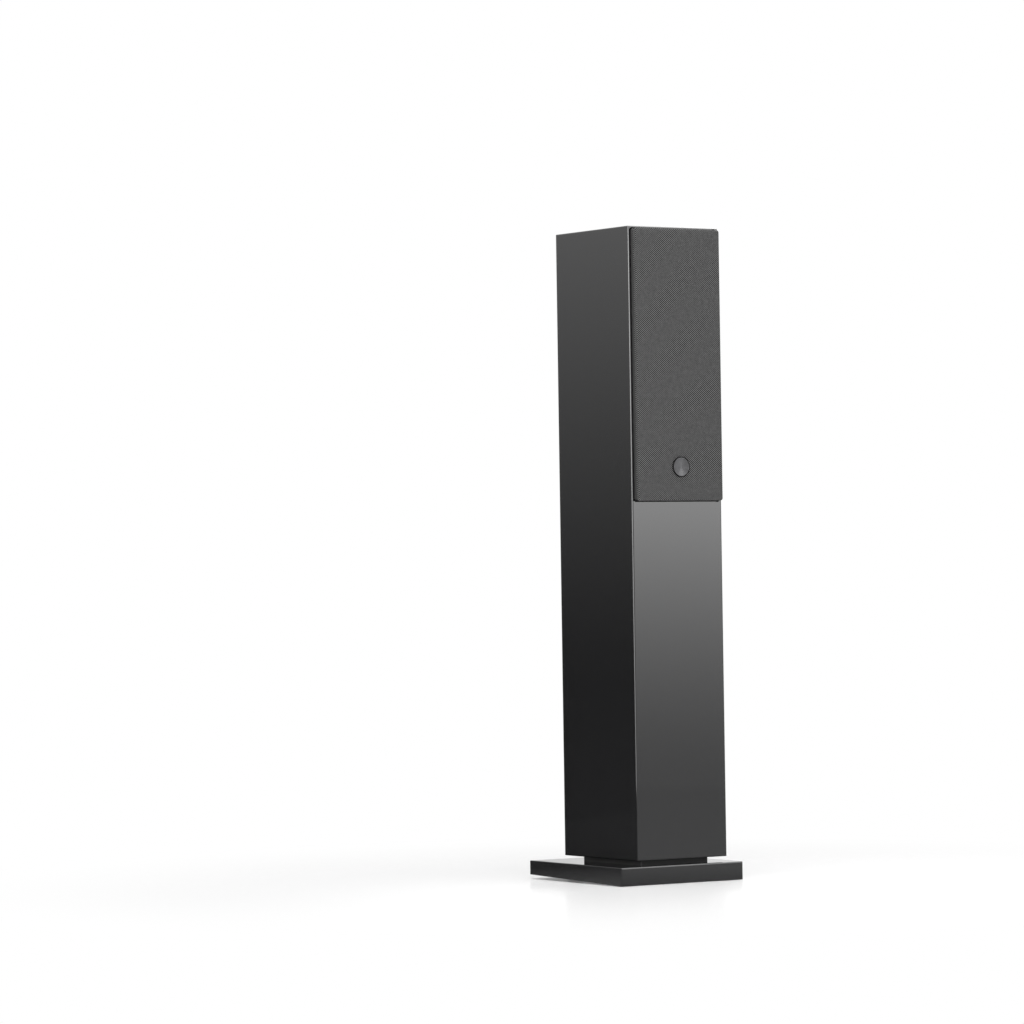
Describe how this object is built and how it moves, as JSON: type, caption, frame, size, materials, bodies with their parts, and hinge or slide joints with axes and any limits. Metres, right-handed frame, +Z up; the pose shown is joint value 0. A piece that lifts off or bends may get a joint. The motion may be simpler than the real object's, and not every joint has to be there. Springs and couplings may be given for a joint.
{
  "type": "floorstanding speaker",
  "caption": "Slim floorstanding loudspeaker: square lacquered column on a wide base plate, cloth grille panel with a round metal badge, bass port and terminals behind.",
  "frame": {"origin": "on the floor under the middle of the speaker's overall footprint", "axes": "+Z up, the front and its grille face -Y, +X is the viewer's right when looking at the front"},
  "size_m": [0.204, 0.242, 0.904],
  "materials": {
    "badge_metal": "spun and brushed",
    "badge_ring": "gloss black",
    "bare_board": "bare fibreboard",
    "basket_metal": "satin black paint",
    "black_plastic": "moulded",
    "black_screw": "black oxide",
    "cable_jacket": "flexible insulation",
    "cap_plastic": "satin",
    "capacitor_film": "film-wrapped",
    "circuit_board": "green solder mask",
    "coil_copper": "enamelled copper wire",
    "cone_paper": "coated paper pulp",
    "dome_metal": "thin satin metal",
    "ferrite": "grey ferrite",
    "foot_rubber": "matte rubber",
    "gloss_lacquer": "high-gloss black lacquer on fibreboard",
    "gold_plate": "gold-plated",
    "grille_board": "black-stained fibreboard",
    "grille_cloth": "dark grey woven acoustic cloth",
    "insert_brass": "turned brass",
    "motor_steel": "plated steel",
    "neck_black": "matte black painted fibreboard",
    "nickel_magnet": "nickel-plated magnet",
    "plate_plastic": "satin black",
    "plated_steel": "zinc-plated steel",
    "port_plastic": "moulded satin black",
    "red_plastic": "moulded",
    "spider_cloth": "resin-treated cotton",
    "surround_rubber": "soft matte rubber",
    "wadding_fibre": "loose polyester fibre"
  },
  "bodies": {
    "cabinet": {"baffle": "gloss_lacquer", "side_left": "gloss_lacquer", "side_right": "gloss_lacquer", "top_panel": "gloss_lacquer", "bottom_panel": "gloss_lacquer", "rear_panel": "gloss_lacquer", "braces": "bare_board", "neck": "neck_black", "base_plate": "gloss_lacquer", "feet": "foot_rubber", "base_bolts": "plated_steel", "base_inserts": "insert_brass", "catch_discs": "plated_steel", "woofer_upper_basket": "basket_metal", "woofer_upper_steel": "motor_steel", "woofer_upper_magnet": "ferrite", "woofer_upper_spider": "spider_cloth", "woofer_upper_surround": "surround_rubber", "woofer_lower_basket": "basket_metal", "woofer_lower_steel": "motor_steel", "woofer_lower_magnet": "ferrite", "woofer_lower_spider": "spider_cloth", "woofer_lower_surround": "surround_rubber", "tweeter_plate": "plate_plastic", "tweeter_steel": "motor_steel", "tweeter_magnet": "ferrite", "tweeter_surround": "surround_rubber", "driver_screws": "black_screw", "crossover_board": "circuit_board", "crossover_spacers": "plated_steel", "crossover_inductors": "coil_copper", "crossover_capacitors": "capacitor_film", "port_tube": "port_plastic", "wadding": "wadding_fibre", "terminal_cup": "port_plastic", "terminal_screws": "plated_steel", "post_red": "gold_plate", "post_black": "gold_plate", "cable_input": "cable_jacket", "cable_upper": "cable_jacket", "cable_tweeter": "cable_jacket", "cable_lower": "cable_jacket"},
    "grille": {"grille_frame": "grille_board", "grille_cloth": "grille_cloth", "grille_magnets": "nickel_magnet", "badge_ring": "badge_ring", "badge_dish": "badge_metal"},
    "woofer_upper": {"woofer_upper_cone": "cone_paper", "woofer_upper_coil": "coil_copper", "woofer_upper_cap": "cap_plastic"},
    "woofer_lower": {"woofer_lower_cone": "cone_paper", "woofer_lower_coil": "coil_copper", "woofer_lower_cap": "cap_plastic"},
    "tweeter": {"tweeter_dome": "dome_metal", "tweeter_coil": "coil_copper"},
    "clamp_red": {"collar_red": "gold_plate"},
    "clamp_black": {"collar_black": "gold_plate"},
    "screw_cap_red": {"cap_red": "red_plastic"},
    "screw_cap_black": {"cap_black": "black_plastic"}
  },
  "joints": [
    {"name": "grille_pull", "type": "slide", "parent": "cabinet", "child": "grille", "axis": [0, -1, 0], "range_m": [0, 0.15]},
    {"name": "woofer_upper_stroke", "type": "slide", "parent": "cabinet", "child": "woofer_upper", "axis": [0, -1, 0], "range_m": [-0.004, 0.004], "stiffness_N_per_m": 1200, "deforming": ["woofer_upper_surround", "woofer_upper_spider"]},
    {"name": "woofer_lower_stroke", "type": "slide", "parent": "cabinet", "child": "woofer_lower", "axis": [0, -1, 0], "range_m": [-0.004, 0.004], "stiffness_N_per_m": 1200, "deforming": ["woofer_lower_surround", "woofer_lower_spider"]},
    {"name": "tweeter_stroke", "type": "slide", "parent": "cabinet", "child": "tweeter", "axis": [0, -1, 0], "range_m": [-0.0004, 0.0004], "stiffness_N_per_m": 1500, "deforming": ["tweeter_surround"]},
    {"name": "clamp_red_travel", "type": "slide", "parent": "cabinet", "child": "clamp_red", "axis": [0, 1, 0], "range_m": [0, 0.003]},
    {"name": "screw_cap_red_turn", "type": "hinge", "parent": "clamp_red", "child": "screw_cap_red", "pos_m": [-0.00953, 0.0665, 0.14], "axis": [0, 1, 0], "range_deg": [0, 1080]},
    {"name": "clamp_black_travel", "type": "slide", "parent": "cabinet", "child": "clamp_black", "axis": [0, 1, 0], "range_m": [0, 0.003]},
    {"name": "screw_cap_black_turn", "type": "hinge", "parent": "clamp_black", "child": "screw_cap_black", "pos_m": [0.00953, 0.0665, 0.14], "axis": [0, 1, 0], "range_deg": [0, 1080]}
  ],
  "couplings": [
    {"joint": "screw_cap_red_turn", "follows": "clamp_red_travel", "rad_per_m": 6283.2},
    {"joint": "screw_cap_black_turn", "follows": "clamp_black_travel", "rad_per_m": 6283.2}
  ]
}
